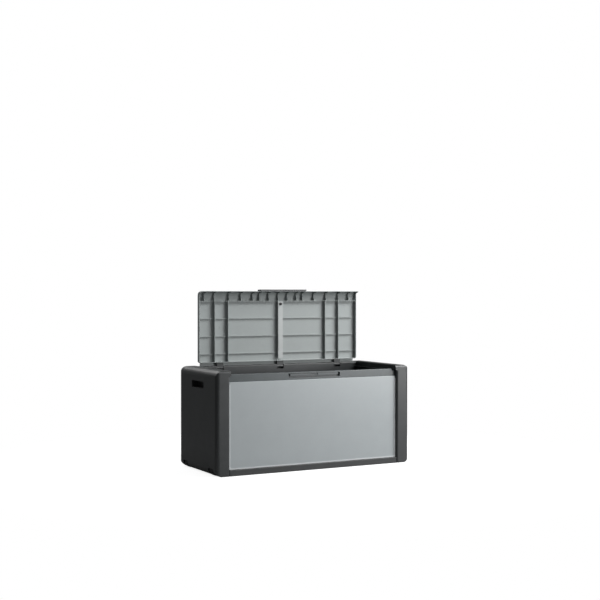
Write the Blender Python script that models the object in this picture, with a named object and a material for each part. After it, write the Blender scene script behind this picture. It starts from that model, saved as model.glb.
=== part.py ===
"""Deck storage box with its lid standing open. Metres, +Z up, front towards -Y.

The object's origin is the centre of its footprint on the floor. Every piece is modelled in the
rest pose: the lid open at a right angle on its hinge.
"""
import math

import bmesh
import bpy

# ---- overall sizes -------------------------------------------------------------------------
LENGTH = 1.200
DEPTH = 0.490
HEIGHT = 0.556
GAP = 0.0003

# ---- end mouldings -------------------------------------------------------------------------
END_WALL = 0.004
STILE_WIDTH = 0.080
CAP_LIP = 0.007
CAP_WIDTH = STILE_WIDTH + CAP_LIP
CAP_DROP = 0.032
CORNER_END = 0.038
CORNER_FRONT = 0.022
CORNER_REAR = 0.012
CORNER_STILE = 0.010
CORNER_TOP_FRONT = 0.017
CORNER_REAR_FOOT = 0.045
LEDGE_REACH = 0.022
LEDGE_THICK = 0.004
PANEL_THICK = 0.003

# ---- hand holes ----------------------------------------------------------------------------
HAND_WIDTH = 0.160
HAND_HEIGHT = 0.037
HAND_CENTRE_Z = HEIGHT - 0.0845
HAND_DEPTH = 0.036
CUP_WALL = 0.0025

# ---- base and walls ------------------------------------------------------------------------
SILL_HEIGHT = 0.033
SILL_SETBACK = 0.004
BASE_WALL = 0.004
FASCIA_SETBACK = 0.017
FASCIA_THICK = 0.003
FASCIA_TOP = HEIGHT - 0.062
BEAD_WIDTH = 0.007
BEAD_PROUD = 0.0025
RAIL_SETBACK = 0.0245
RAIL_DEPTH = 0.0245
RAIL_TOP = HEIGHT - 0.022
FRONT_WALL_THICK = 0.004
TAB_WIDTH = 0.300
POCKET_WIDTH = TAB_WIDTH + 0.020
POCKET_LOW = RAIL_TOP - 0.029
POCKET_HIGH = RAIL_TOP - 0.006
POCKET_DEPTH = 0.0155
REAR_WALL_SETBACK = 0.0165
REAR_RAIL_SETBACK = 0.005
REAR_RAIL_DEPTH = 0.053
REAR_RAIL_LOW = HEIGHT - 0.060
REAR_RAIL_TOP = HEIGHT - 0.003

# ---- lid and hinge -------------------------------------------------------------------------
LID_SIDE_GAP = 0.003
LID_WIDTH = LENGTH - 2 * (CAP_WIDTH + LID_SIDE_GAP)
LID_FRONT_SETBACK = 0.0103
LID_SIDE_DEPTH = 0.024
LID_FRONT_DEPTH = 0.056
LID_WALL = 0.003
LID_FRONT_RADIUS = 0.030
LID_CORNER = 0.012
LID_RIB = 0.0024
APRON_LIFT = 0.012
HINGE_SETBACK = 0.0465
HINGE_DROP = 0.0145
LID_TOP_DROP = 0.003
LID_REAR_OFFSET = 0.0305
HINGE_SPACING = 0.380 / 1.020 * LID_WIDTH
ARM_WIDTH = 0.040
ARM_SIDE_GAP = 0.001
BARREL_RADIUS = 0.009
PIN_RADIUS = 0.004
RUNNING_GAP = 0.00008
HOLE_GAP = 0.0003
PIN_HEAD = 0.0065
PIN_HEAD_THICK = 0.002
TAB_PROUD = 0.0095
TAB_HEIGHT = 0.040
BEAM_WIDTH = 0.030

# ---- wheels --------------------------------------------------------------------------------
WHEEL_RADIUS = 0.028
WHEEL_INSET = 0.003
WHEEL_WIDTH = 0.044
WHEEL_LIFT = 0.0005
WHEEL_OFFSET_Y = DEPTH / 2 - 0.0755
WHEEL_WALL_GAP = 0.0015
NOTCH_SIDE_GAP = 0.008
NOTCH_WIDTH = WHEEL_WIDTH + 2 * NOTCH_SIDE_GAP
CHEEK_THICK = 0.0035
CHEEK_GAP = 0.002
AXLE_RADIUS = 0.004
FOOT_GAP = 0.006
BRACKET_BACK_GAP = 0.011

# ---- derived places ------------------------------------------------------------------------
X_END = LENGTH / 2
Y_FRONT = -DEPTH / 2
Y_REAR = DEPTH / 2
X_STILE = X_END - STILE_WIDTH
X_CAP = X_END - CAP_WIDTH
Z_CAP = HEIGHT - CAP_DROP
Y_FASCIA = Y_FRONT + FASCIA_SETBACK
Y_RAIL = Y_FRONT + RAIL_SETBACK
Y_RAIL_BACK = Y_RAIL + RAIL_DEPTH
Y_WALL = Y_RAIL + 0.0065
Y_WALL_BACK = Y_WALL + FRONT_WALL_THICK
Y_REAR_RAIL_BACK = Y_REAR - REAR_RAIL_SETBACK
Y_REAR_RAIL = Y_REAR_RAIL_BACK - REAR_RAIL_DEPTH
Y_REAR_WALL = Y_REAR - REAR_WALL_SETBACK - 0.0035
HINGE_Y = Y_REAR - HINGE_SETBACK
HINGE_Z = HEIGHT - HINGE_DROP
LID_BACK_Y = HINGE_Y + (HEIGHT - LID_TOP_DROP - HINGE_Z)
LID_LOW_Z = HINGE_Z + LID_REAR_OFFSET
LID_HIGH_Z = HINGE_Z + HINGE_Y - (Y_FRONT + LID_FRONT_SETBACK)
RIB_STEP = LID_WIDTH / 1.020
CROSS_STEP = (LID_HIGH_Z - LID_LOW_Z) / 0.4027
LID_RIM_Y = LID_BACK_Y - LID_SIDE_DEPTH
LID_SKIRT_Y = LID_BACK_Y - LID_FRONT_DEPTH
WHEEL_X = -X_END + WHEEL_RADIUS + WHEEL_INSET
WHEEL_Z = WHEEL_RADIUS + WHEEL_LIFT
WHEEL_SHORT = WHEEL_RADIUS + WHEEL_INSET - END_WALL - WHEEL_WALL_GAP
NOTCH_HEIGHT = WHEEL_Z + math.sqrt(WHEEL_RADIUS ** 2 - WHEEL_SHORT ** 2)
HINGE_PLACES = (("left", -HINGE_SPACING), ("centre", 0.0), ("right", HINGE_SPACING))

for old in list(bpy.data.objects):
    bpy.data.objects.remove(old, do_unlink=True)


# ---- materials -----------------------------------------------------------------------------
def material(name, colour, roughness, metallic=0.0):
    mat = bpy.data.materials.new(name)
    mat.use_nodes = True
    shader = mat.node_tree.nodes["Principled BSDF"]
    shader.inputs["Base Color"].default_value = (colour[0], colour[1], colour[2], 1.0)
    shader.inputs["Roughness"].default_value = roughness
    shader.inputs["Metallic"].default_value = metallic
    return mat


GRAPHITE = (0.030, 0.032, 0.034)
RAIL_GREY = (0.075, 0.078, 0.080)
FASCIA_GREY = (0.330, 0.350, 0.365)
LID_GREY = (0.190, 0.205, 0.205)
TAB_GREY = (0.060, 0.062, 0.066)
BLACK = (0.012, 0.012, 0.013)
ZINC = (0.520, 0.530, 0.540)


# ---- shape helpers -------------------------------------------------------------------------
def rounded(points, radii, steps=6):
    """Outline with each corner replaced by an arc of its own radius (zero keeps it sharp)."""
    out = []
    count = len(points)
    for i in range(count):
        px, py = points[i]
        r = radii[i]
        if r <= 0.0:
            out.append((px, py))
            continue
        ax, ay = points[i - 1]
        bx, by = points[(i + 1) % count]
        la = math.hypot(ax - px, ay - py)
        lb = math.hypot(bx - px, by - py)
        ua = ((ax - px) / la, (ay - py) / la)
        ub = ((bx - px) / lb, (by - py) / lb)
        angle = math.acos(max(-1.0, min(1.0, ua[0] * ub[0] + ua[1] * ub[1])))
        reach = r / math.tan(angle / 2)
        mid = (ua[0] + ub[0], ua[1] + ub[1])
        lm = math.hypot(mid[0], mid[1])
        far = r / math.sin(angle / 2)
        cx = px + mid[0] / lm * far
        cy = py + mid[1] / lm * far
        start = math.atan2(py + ua[1] * reach - cy, px + ua[0] * reach - cx)
        end = math.atan2(py + ub[1] * reach - cy, px + ub[0] * reach - cx)
        turn = (end - start + math.pi) % (2 * math.pi) - math.pi
        for k in range(steps + 1):
            t = start + turn * k / steps
            out.append((cx + r * math.cos(t), cy + r * math.sin(t)))
    return out


def rect(x0, x1, y0, y1):
    return [(x0, y0), (x1, y0), (x1, y1), (x0, y1)]


def place(axis, u, v, w):
    if axis == "X":
        return (w, u, v)
    if axis == "Y":
        return (u, w, v)
    return (u, v, w)


def to_object(name, bm, mat=None):
    bmesh.ops.recalc_face_normals(bm, faces=bm.faces[:])
    mesh = bpy.data.meshes.new(name)
    bm.to_mesh(mesh)
    bm.free()
    obj = bpy.data.objects.new(name, mesh)
    bpy.context.scene.collection.objects.link(obj)
    if mat is not None:
        mesh.materials.append(mat)
    return obj


def prism(name, outline, axis, lo, hi, mat=None):
    """Solid made by pushing a closed outline along one axis."""
    bm = bmesh.new()
    near = [bm.verts.new(place(axis, u, v, lo)) for u, v in outline]
    far = [bm.verts.new(place(axis, u, v, hi)) for u, v in outline]
    bm.faces.new(near)
    bm.faces.new(far)
    count = len(outline)
    for i in range(count):
        j = (i + 1) % count
        bm.faces.new((near[i], near[j], far[j], far[i]))
    return to_object(name, bm, mat)


def box(name, x0, x1, y0, y1, z0, z1, mat=None):
    return prism(name, rect(x0, x1, y0, y1), "Z", z0, z1, mat)


def circle(cx, cy, r, count=48):
    return [(cx + r * math.cos(2 * math.pi * k / count), cy + r * math.sin(2 * math.pi * k / count))
            for k in range(count)]


def combine(target, other, operation):
    """Join, cut or keep the shared part of two solids, then drop the second one."""
    mod = target.modifiers.new("combine", "BOOLEAN")
    mod.operation = operation
    mod.solver = "EXACT"
    mod.object = other
    other.hide_render = True
    other.display_type = "WIRE"
    bpy.context.view_layer.update()
    graph = bpy.context.evaluated_depsgraph_get()
    result = bpy.data.meshes.new_from_object(target.evaluated_get(graph))
    target.modifiers.remove(mod)
    target.data = result
    bpy.data.objects.remove(other, do_unlink=True)
    return target


def cut(target, other):
    return combine(target, other, "DIFFERENCE")


def add(target, other):
    return combine(target, other, "UNION")


def keep(target, other):
    return combine(target, other, "INTERSECT")


def finish(obj, mat, smooth_angle=35.0):
    """Clean the mesh, give it its material and shade its round faces smooth."""
    bm = bmesh.new()
    bm.from_mesh(obj.data)
    bmesh.ops.remove_doubles(bm, verts=bm.verts[:], dist=0.000005)
    bmesh.ops.dissolve_degenerate(bm, edges=bm.edges[:], dist=0.000005)
    bmesh.ops.recalc_face_normals(bm, faces=bm.faces[:])
    limit = math.radians(smooth_angle)
    for face in bm.faces:
        face.smooth = True
        face.material_index = 0
    for edge in bm.edges:
        edge.smooth = len(edge.link_faces) == 2 and edge.calc_face_angle(math.pi) < limit
    bm.to_mesh(obj.data)
    bm.free()
    obj.data.materials.clear()
    obj.data.materials.append(mat)
    return obj


def set_origin(obj, x, y, z):
    """Put the object's origin on a point without moving its shape."""
    for vertex in obj.data.vertices:
        vertex.co.x -= x
        vertex.co.y -= y
        vertex.co.z -= z
    obj.location = (x, y, z)
    return obj


# ---- end mouldings -------------------------------------------------------------------------
def mirrored(outline, side):
    return outline if side < 0 else [(-u, v) for u, v in reversed(outline)]


def end_block(name, side, inset):
    """Outer block of an end, or the hollow inside it when inset is the wall thickness."""
    inner = X_STILE + (inset if inset else 0.0)
    if inset:
        front_view = rounded(
            [(-X_END + inset, inset), (-inner, inset), (-inner, HEIGHT - inset),
             (-X_END + inset, HEIGHT - inset)],
            [CORNER_END - inset, 0, 0, CORNER_END - inset], 8)
        plan_x = -inner
    else:
        front_view = rounded(
            [(-X_END, 0.0), (-X_STILE, 0.0), (-X_STILE, Z_CAP), (-X_STILE + LEDGE_REACH, Z_CAP),
             (-X_STILE + LEDGE_REACH, Z_CAP + LEDGE_THICK), (-X_CAP, Z_CAP + LEDGE_THICK),
             (-X_CAP, HEIGHT), (-X_END, HEIGHT)],
            [CORNER_END, 0, 0, 0, 0, 0, 0.003, CORNER_END], 8)
        plan_x = -X_STILE + LEDGE_REACH + 0.001
    solid = prism(name, mirrored(front_view, side), "Y", Y_FRONT + inset, Y_REAR - inset)
    plan = rounded(
        [(-X_END + inset, Y_FRONT + inset), (plan_x, Y_FRONT + inset), (plan_x, Y_REAR - inset),
         (-X_END + inset, Y_REAR - inset)],
        [CORNER_FRONT - inset, 0, 0, CORNER_REAR - inset], 6)
    keep(solid, prism("plan", mirrored(plan, side), "Z", -0.01, HEIGHT + 0.01))
    side_view = rounded(
        [(Y_FRONT + inset, inset), (Y_REAR - inset, inset), (Y_REAR - inset, HEIGHT - inset),
         (Y_FRONT + inset, HEIGHT - inset)],
        [0.008 - inset, CORNER_REAR_FOOT - inset, CORNER_REAR - inset, CORNER_TOP_FRONT - inset], 7)
    reach = X_END + 0.01
    lo, hi = (-reach, -X_CAP + 0.05) if side < 0 else (X_CAP - 0.05, reach)
    keep(solid, prism("side", side_view, "X", lo, hi))
    return solid


def stile_fillet(target, side, y_edge, direction):
    """Round the stile's inner vertical edge."""
    x_edge = -X_STILE
    r = CORNER_STILE
    bar = [(x_edge + 0.001, y_edge - direction * 0.001)]
    bar.append((x_edge + 0.001, y_edge + direction * r))
    for k in range(6):
        t = math.pi / 2 * k / 5
        bar.append((x_edge - r + r * math.cos(t), y_edge + direction * (r - r * math.sin(t))))
    bar.append((x_edge - r, y_edge - direction * 0.001))
    return cut(target, prism("fillet", mirrored(bar, side), "Z", -0.01, Z_CAP - 0.001))


def x_span(side, x0, x1):
    """Span given for the left end, mirrored for the right one."""
    return (x0, x1) if side < 0 else (-x1, -x0)


def end_moulding(word, side):
    shell = end_block(word + "_end_shell", side, 0.0)
    stile_fillet(shell, side, Y_FRONT, 1)
    cut(shell, end_block("hollow", side, END_WALL))
    x0, x1 = x_span(side, -X_STILE - 0.006, -X_STILE + 0.0005)
    mouth = rounded(rect(Y_FRONT + 0.045, Y_REAR - 0.030, SILL_HEIGHT + 0.003, Z_CAP - 0.009),
                    [0.006] * 4, 4)
    cut(shell, prism("mouth", mouth, "X", x0, x1))
    x0, x1 = x_span(side, -X_STILE - 0.0001, -X_STILE + LEDGE_REACH + 0.005)
    for y0, y1 in ((Y_FRONT - 0.01, Y_RAIL_BACK + 0.006), (Y_REAR_RAIL - 0.006, Y_REAR + 0.01)):
        cut(shell, box("ledge_end", x0, x1, y0, y1, Z_CAP - 0.001, Z_CAP + LEDGE_THICK + 0.0))
    x0, x1 = x_span(side, -X_END - 0.01, -X_END + END_WALL + 0.004)
    hole = rounded(rect(-HAND_WIDTH / 2, HAND_WIDTH / 2, HAND_CENTRE_Z - HAND_HEIGHT / 2,
                        HAND_CENTRE_Z + HAND_HEIGHT / 2), [0.006] * 4, 5)
    cut(shell, prism("hand_hole", hole, "X", x0, x1))
    if side < 0:
        for sign in (-1, 1):
            y_mid = sign * WHEEL_OFFSET_Y
            y0, y1 = y_mid - NOTCH_WIDTH / 2, y_mid + NOTCH_WIDTH / 2
            notch = rounded([(y0, -0.01), (y1, -0.01), (y1, NOTCH_HEIGHT), (y0, NOTCH_HEIGHT)],
                            [0, 0, 0.005, 0.005], 4)
            cut(shell, prism("notch", notch, "X", -X_END - 0.01, WHEEL_X + WHEEL_RADIUS + 0.004))
    return finish(shell, material(word + "_end_plastic", GRAPHITE, 0.48))


def inner_panel(word, side):
    x0, x1 = x_span(side, -X_STILE + GAP, -X_STILE + GAP + PANEL_THICK)
    low, high, step = SILL_HEIGHT + GAP, Z_CAP - 0.002, FASCIA_TOP - 0.002
    outline = rounded(
        [(Y_WALL_BACK + GAP, low), (Y_REAR_WALL - GAP, low), (Y_REAR_WALL - GAP, high),
         (Y_RAIL_BACK + GAP, high), (Y_RAIL_BACK + GAP, step), (Y_WALL_BACK + GAP, step)],
        [0.004, 0.004, 0.004, 0.004, 0, 0.001], 3)
    panel = prism(word + "_inner_panel", outline, "X", x0, x1)
    hidden0, hidden1 = x_span(side, -X_STILE - 0.0030, -X_STILE + GAP + 0.001)
    for y_mid in [DEPTH * k for k in (-0.24, -0.08, 0.08, 0.24)]:
        add(panel, box("stiffener", hidden0, hidden1, y_mid - 0.0015, y_mid + 0.0015, 0.050,
                       Z_CAP - 0.022))
    return finish(panel, material(word + "_panel_plastic", GRAPHITE, 0.55))


def hand_cup(word, side):
    lip = -X_END + END_WALL + GAP
    x0, x1 = x_span(side, lip, lip + HAND_DEPTH)
    half_w = HAND_WIDTH / 2 + CUP_WALL
    half_h = HAND_HEIGHT / 2 + CUP_WALL
    outer = rounded(rect(-half_w, half_w, HAND_CENTRE_Z - half_h, HAND_CENTRE_Z + half_h),
                    [0.0085] * 4, 5)
    cup = prism(word + "_hand_cup", outer, "X", x0, x1)
    flange = rounded(rect(-half_w - 0.008, half_w + 0.008, HAND_CENTRE_Z - half_h - 0.006,
                          HAND_CENTRE_Z + half_h + 0.006), [0.010] * 4, 5)
    f0, f1 = x_span(side, lip, lip + 0.002)
    add(cup, prism("flange", flange, "X", f0, f1))
    half_w -= CUP_WALL
    half_h -= CUP_WALL
    h0, h1 = x_span(side, lip - 0.01, lip + HAND_DEPTH - CUP_WALL)
    hollow = rounded(rect(-half_w, half_w, HAND_CENTRE_Z - half_h, HAND_CENTRE_Z + half_h),
                     [0.006] * 4, 5)
    cut(cup, prism("cup_hollow", hollow, "X", h0, h1))
    return finish(cup, material(word + "_cup_plastic", BLACK, 0.60))


for word, side in (("left", -1), ("right", 1)):
    end_moulding(word, side)
    inner_panel(word, side)
    hand_cup(word, side)


# ---- base ----------------------------------------------------------------------------------
def base_tray():
    half_x = X_STILE - GAP
    half_y = DEPTH / 2 - SILL_SETBACK
    profile = rounded(rect(-half_y, half_y, 0.0, SILL_HEIGHT), [0.002, 0.002, 0.003, 0.003], 3)
    tray = prism("base_tray", profile, "X", -half_x, half_x)
    cut(tray, box("under", -half_x + BASE_WALL, half_x - BASE_WALL, -half_y + BASE_WALL,
                  half_y - BASE_WALL, -0.01, SILL_HEIGHT - BASE_WALL))
    for x_mid in [half_x * k / 6 for k in range(-5, 6)]:
        add(tray, box("cross_rib", x_mid - 0.0015, x_mid + 0.0015, -half_y + 0.002, half_y - 0.002,
                      0.003, SILL_HEIGHT - 0.002))
    for y_mid in [half_y * k / 5 for k in (-3, -1, 1, 3)]:
        add(tray, box("long_rib", -half_x + 0.002, half_x - 0.002, y_mid - 0.0015, y_mid + 0.0015,
                      0.005, SILL_HEIGHT - 0.002))
    return finish(tray, material("base_plastic", GRAPHITE, 0.52))


base_tray()


# ---- front ---------------------------------------------------------------------------------
def front_wall():
    half_x = X_STILE - GAP
    skin = 0.0035
    foot = FASCIA_TOP - 0.001
    profile = [
        (Y_WALL, SILL_HEIGHT + GAP), (Y_WALL_BACK, SILL_HEIGHT + GAP), (Y_WALL_BACK, foot + skin),
        (Y_RAIL + skin, foot + skin), (Y_RAIL + skin, RAIL_TOP - skin),
        (Y_RAIL_BACK - skin, RAIL_TOP - skin), (Y_RAIL_BACK - skin, RAIL_TOP - 0.019),
        (Y_RAIL_BACK, RAIL_TOP - 0.019), (Y_RAIL_BACK, RAIL_TOP), (Y_RAIL, RAIL_TOP),
        (Y_RAIL, foot), (Y_WALL, foot)]
    radii = [0, 0, 0, 0, 0, 0, 0, 0, 0.002, 0.003, 0.002, 0]
    wall = prism("front_wall", rounded(profile, radii, 3), "X", -half_x, half_x)
    for sign in (-1, 1):
        x0, x1 = sorted((sign * (LID_WIDTH / 2 - LID_WALL - 0.003), sign * (half_x + 0.01)))
        cut(wall, box("corner", x0, x1, Y_RAIL - 0.01, Y_RAIL_BACK + 0.01, Z_CAP - GAP, 0.60))
    half_w = POCKET_WIDTH / 2
    # the pocket is a dished recess: a filled block behind the rail's face, then the hollow
    add(wall, box("pocket_block", -half_w - 0.004, half_w + 0.004, Y_RAIL + 0.001,
                  Y_RAIL + POCKET_DEPTH + 0.0035, POCKET_LOW - 0.0045, RAIL_TOP - 0.001))
    recess = rounded(rect(-half_w, half_w, POCKET_LOW, POCKET_HIGH), [0.004] * 4, 4)
    cut(wall, prism("pocket", recess, "Y", Y_RAIL - 0.01, Y_RAIL + POCKET_DEPTH))
    for x_mid in [half_x * k / 3 for k in (-2, -1, 0, 1, 2)]:
        add(wall, box("wall_rib", x_mid - 0.0015, x_mid + 0.0015, Y_WALL - 0.003, Y_WALL + 0.002,
                      0.060, foot - 0.030))
    return finish(wall, material("front_wall_plastic", RAIL_GREY, 0.50))


def latch_keeper():
    half_w = POCKET_WIDTH / 2 - 0.010
    y0 = Y_RAIL + 0.0022
    y1 = Y_RAIL + POCKET_DEPTH - GAP
    plate = prism("latch_keeper", rounded(rect(-half_w, half_w, POCKET_LOW + 0.0080,
                  POCKET_HIGH - 0.0010), [0.003] * 4, 4), "Y", y0, y1)
    cut(plate, prism("strike", rounded(rect(-0.022, 0.022, POCKET_LOW + 0.0115,
                     POCKET_HIGH - 0.0045), [0.002] * 4, 3), "Y", y0 - 0.01, y0 + 0.0045))
    return finish(plate, material("keeper_plastic", RAIL_GREY, 0.46))


def front_fascia():
    half_x = X_STILE - 0.0012
    low = SILL_HEIGHT + 0.0006
    back = Y_FASCIA + FASCIA_THICK
    tuck = Y_RAIL - 0.0012
    profile = [(Y_FASCIA, low), (back, low), (back, FASCIA_TOP - FASCIA_THICK - 0.002),
               (tuck, FASCIA_TOP - FASCIA_THICK - 0.002), (tuck, FASCIA_TOP), (Y_FASCIA, FASCIA_TOP)]
    radii = [0.001, 0, 0, 0.0006, 0.0012, 0.0032]
    fascia = prism("front_fascia", rounded(profile, radii, 5), "X", -half_x, half_x)
    frame = prism("bead", rect(-half_x, half_x, low, FASCIA_TOP - 0.012), "Y",
                  Y_FASCIA - BEAD_PROUD, Y_FASCIA + 0.001)
    field = rounded(rect(-half_x + BEAD_WIDTH, half_x - BEAD_WIDTH, low + BEAD_WIDTH, FASCIA_TOP + 0.05),
                    [0.010, 0.010, 0, 0], 5)
    cut(frame, prism("field", field, "Y", Y_FASCIA - 0.02, Y_FASCIA + 0.02))
    add(fascia, frame)
    for x_mid in [half_x * k / 6 for k in (-5, -3, -1, 1, 3, 5)]:
        add(fascia, box("spacer", x_mid - 0.002, x_mid + 0.002, back - 0.001, Y_WALL - 0.0006,
                        0.070, FASCIA_TOP - 0.040))
    return finish(fascia, material("fascia_plastic", FASCIA_GREY, 0.42))


front_wall()
latch_keeper()
front_fascia()


# ---- rear ----------------------------------------------------------------------------------
def rear_wall():
    half_x = X_STILE - GAP
    wall = box("rear_wall", -half_x, half_x, Y_REAR_WALL, Y_REAR_WALL + 0.0035,
               SILL_HEIGHT + GAP, REAR_RAIL_LOW - GAP)
    for k in range(9):
        x_mid = half_x * (k - 4) / 4.7
        bar = rounded(rect(x_mid - 0.009, x_mid + 0.009, 0.060, REAR_RAIL_LOW - 0.028), [0.006] * 4, 3)
        add(wall, prism("bar", bar, "Y", Y_REAR_WALL + 0.002, Y_REAR_WALL + 0.0085))
    return finish(wall, material("rear_wall_plastic", GRAPHITE, 0.55))


def rear_rail():
    half_x = X_CAP - GAP
    skin = 0.0035
    profile = rounded(rect(Y_REAR_RAIL, Y_REAR_RAIL_BACK, REAR_RAIL_LOW, REAR_RAIL_TOP),
                      [0, 0, 0.006, 0.007], 4)
    rail = prism("rear_rail", profile, "X", -half_x, half_x)
    cheek = 0.005
    half_slot = ARM_WIDTH / 2 + ARM_SIDE_GAP
    y0, y1 = Y_REAR_RAIL + skin, Y_REAR_RAIL_BACK - skin
    slot_floor = HINGE_Z - BARREL_RADIUS - 0.0055
    cut(rail, box("under", -half_x + skin, half_x - skin, y0, y1, REAR_RAIL_LOW - 0.01,
                  slot_floor - 0.005))
    edges = [-half_x + skin]
    for _, x_mid in HINGE_PLACES:
        edges.append(x_mid - half_slot - cheek)
        edges.append(x_mid + half_slot + cheek)
    edges.append(half_x - skin)
    for k in range(0, len(edges), 2):
        cut(rail, box("bay", edges[k], edges[k + 1], y0, y1, slot_floor - 0.006,
                      REAR_RAIL_TOP - skin))
    for _, x_mid in HINGE_PLACES:
        cut(rail, box("slot", x_mid - half_slot, x_mid + half_slot, Y_REAR_RAIL - 0.01,
                      HINGE_Y + BARREL_RADIUS + 0.0035, slot_floor, REAR_RAIL_TOP + 0.01))
        cut(rail, prism("pin_hole", circle(HINGE_Y, HINGE_Z, PIN_RADIUS + HOLE_GAP, 32), "X",
                        x_mid - half_slot - cheek - 0.002, x_mid + half_slot + cheek + 0.002))
    return finish(rail, material("rear_rail_plastic", GRAPHITE, 0.50))


def headed_pin(name, axis, u, v, radius, lo, hi, mat):
    """Plain pin with a flat head at both ends."""
    pin = prism(name, circle(u, v, radius), axis, lo, hi)
    add(pin, prism("head", circle(u, v, PIN_HEAD), axis, lo - PIN_HEAD_THICK, lo + 0.0))
    add(pin, prism("head", circle(u, v, PIN_HEAD), axis, hi - 0.0, hi + PIN_HEAD_THICK))
    return finish(pin, mat)


rear_wall()
rear_rail()
for word, x_mid in HINGE_PLACES:
    half_pin = ARM_WIDTH / 2 + ARM_SIDE_GAP + 0.005 + GAP
    headed_pin("hinge_pin_" + word, "X", HINGE_Y, HINGE_Z, PIN_RADIUS, x_mid - half_pin,
               x_mid + half_pin, material("hinge_pin_steel_" + word, ZINC, 0.35, 1.0))


# ---- lid -----------------------------------------------------------------------------------
def hinge_hole_places():
    return [(x_mid + dx) for _, x_mid in HINGE_PLACES for dx in (-0.012, 0.012)]


SCREW_Y = LID_BACK_Y - 0.0075
SCREW_RADIUS = 0.002


def lid_shell():
    half_w = LID_WIDTH / 2
    side_view = rounded(
        [(LID_BACK_Y, LID_LOW_Z), (LID_BACK_Y, LID_HIGH_Z), (LID_SKIRT_Y, LID_HIGH_Z),
         (LID_SKIRT_Y, LID_HIGH_Z - 0.0045), (LID_RIM_Y, LID_HIGH_Z - 0.0125), (LID_RIM_Y, LID_LOW_Z)],
        [0.006, LID_FRONT_RADIUS, 0.001, 0.001, 0.006, 0.001], 8)
    lid = prism("lid_shell", side_view, "X", -half_w, half_w)
    front_view = rounded(rect(-half_w, half_w, LID_LOW_Z, LID_HIGH_Z), [LID_CORNER] * 4, 6)
    keep(lid, prism("outline", front_view, "Y", LID_SKIRT_Y - 0.01, LID_BACK_Y + 0.01))
    t = LID_WALL
    hollow = rounded(
        [(LID_BACK_Y - t, LID_LOW_Z + t), (LID_BACK_Y - t, LID_HIGH_Z - t),
         (LID_SKIRT_Y - 0.02, LID_HIGH_Z - t), (LID_SKIRT_Y - 0.02, LID_LOW_Z + t)],
        [0.003, LID_FRONT_RADIUS - t, 0, 0], 8)
    inside = prism("inside", hollow, "X", -half_w + t, half_w - t)
    inner_view = rounded(rect(-half_w + t, half_w - t, LID_LOW_Z + t, LID_HIGH_Z - t),
                         [LID_CORNER - t] * 4, 6)
    keep(inside, prism("outline", inner_view, "Y", LID_SKIRT_Y - 0.03, LID_BACK_Y))
    cut(lid, inside)
    rib = LID_RIB / 2
    deep = LID_RIM_Y + 0.002
    shallow = LID_BACK_Y - 0.013
    root = LID_BACK_Y - 0.0015
    beam_z = LID_HIGH_Z - 0.0565
    # full-width ribs: the beam under the comb, then two shallow ones and one by the hinges
    for down, y_tip in ((0.0, deep), (0.099, shallow), (0.199, shallow), (0.298, shallow)):
        z_mid = beam_z - down * CROSS_STEP
        add(lid, box("cross", -half_w + 0.0015, half_w - 0.0015, y_tip, root, z_mid - rib, z_mid + rib))
    # long upright ribs at the sides
    for place_x in (-0.414, -0.331, 0.298, 0.388):
        x_mid = place_x * RIB_STEP
        add(lid, box("upright", x_mid - rib, x_mid + rib, deep, root, LID_LOW_Z + 0.0015, beam_z + 0.001))
    # short ribs between the beam and the front skirt
    comb = rounded(
        [(root, beam_z - 0.0008), (deep, beam_z - 0.0008), (deep, beam_z + 0.012),
         (LID_BACK_Y - 0.0165, beam_z + 0.018), (LID_BACK_Y - 0.0165, LID_HIGH_Z - 0.0130),
         (LID_SKIRT_Y + 0.008, LID_HIGH_Z - 0.0090), (LID_SKIRT_Y + 0.008, LID_HIGH_Z - 0.0015),
         (root, LID_HIGH_Z - 0.0015)],
        [0, 0, 0, 0, 0, 0, 0, LID_FRONT_RADIUS - 0.0015], 6)
    for place_x in (-0.479, -0.416, -0.325, -0.250, -0.176, -0.133, -0.074, -0.013, 0.047, 0.106,
                    0.146, 0.223, 0.304, 0.388, 0.458):
        x_mid = place_x * RIB_STEP
        add(lid, prism("comb", comb, "X", x_mid - rib, x_mid + rib))
    # the skin runs on past the rear skirt, so that no gap shows over the hinge
    add(lid, box("apron", -half_w + LID_CORNER, half_w - LID_CORNER, LID_BACK_Y - LID_WALL,
                 LID_BACK_Y, HINGE_Z + APRON_LIFT, LID_LOW_Z + 0.008))
    for x_mid in hinge_hole_places():
        cut(lid, prism("screw_hole", circle(x_mid, SCREW_Y, SCREW_RADIUS + HOLE_GAP, 24), "Z",
                       LID_LOW_Z - 0.01, LID_LOW_Z + 0.010))
    return finish(lid, material("lid_plastic", LID_GREY, 0.45))


def centre_beam():
    """Box-section strip down the middle of the lid, on the ribs' shallow tips."""
    beam_z = LID_HIGH_Z - 0.0565
    half = BEAM_WIDTH / 2
    z0, z1 = LID_LOW_Z + LID_WALL + 0.012, beam_z - LID_RIB / 2 - 0.0006
    y0, y1 = LID_RIM_Y + 0.001, LID_BACK_Y - 0.013 - GAP
    strip = prism("lid_centre_beam", rounded(rect(-half, half, z0, z1), [0.004] * 4, 4), "Y", y0, y1)
    cut(strip, box("hollow", -half + 0.002, half - 0.002, y0 + 0.0025, y1 + 0.01, z0 + 0.0025,
                   z1 - 0.0025))
    cut(strip, prism("boss_hole", circle(0.0, z1 - 0.016, 0.0062, 32), "Y", y0 - 0.01, y0 + 0.02))
    return finish(strip, material("beam_plastic", FASCIA_GREY, 0.42)), z1 - 0.016, y0


def lock_boss(z_mid, y_face):
    boss = prism("lid_lock_boss", circle(0.0, z_mid, 0.0085, 32), "Y", y_face - 0.0033, y_face - GAP)
    add(boss, prism("stem", circle(0.0, z_mid, 0.0058, 32), "Y", y_face - 0.001, y_face + 0.0060))
    cut(boss, prism("bore", circle(0.0, z_mid, 0.0036, 32), "Y", y_face - 0.01, y_face + 0.0040))
    return finish(boss, material("boss_plastic", BLACK, 0.50))


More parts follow.
